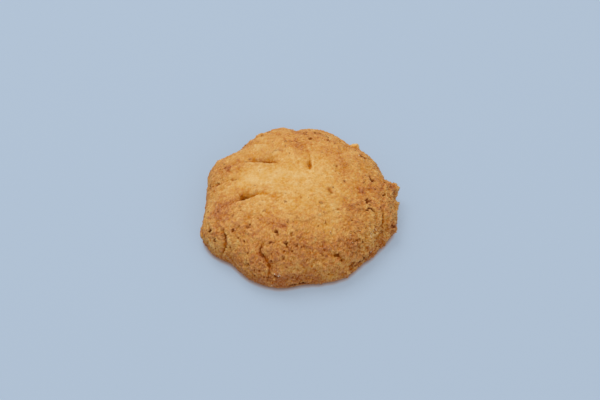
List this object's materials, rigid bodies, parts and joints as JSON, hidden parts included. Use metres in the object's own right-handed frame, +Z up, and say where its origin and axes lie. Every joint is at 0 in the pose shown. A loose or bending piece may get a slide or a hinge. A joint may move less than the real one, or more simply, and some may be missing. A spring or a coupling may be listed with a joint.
{
  "type": "shortbread biscuit",
  "caption": "Round piped shortbread biscuit with a flat underside, a low domed crust, a lobed uneven rim and a swirl of furrows nearly baked away, eaten as a snack.",
  "frame": {"origin": "middle of the flat underside, under the centre of the biscuit's box", "axes": "+Z up, square to the underside; +X to the right of the shown view; +Y away from the viewer"},
  "size_m": [0.0558, 0.0562, 0.0151],
  "materials": {
    "crust": "matte"
  },
  "bodies": {
    "root": {"biscuit": "crust"}
  },
  "joints": []
}
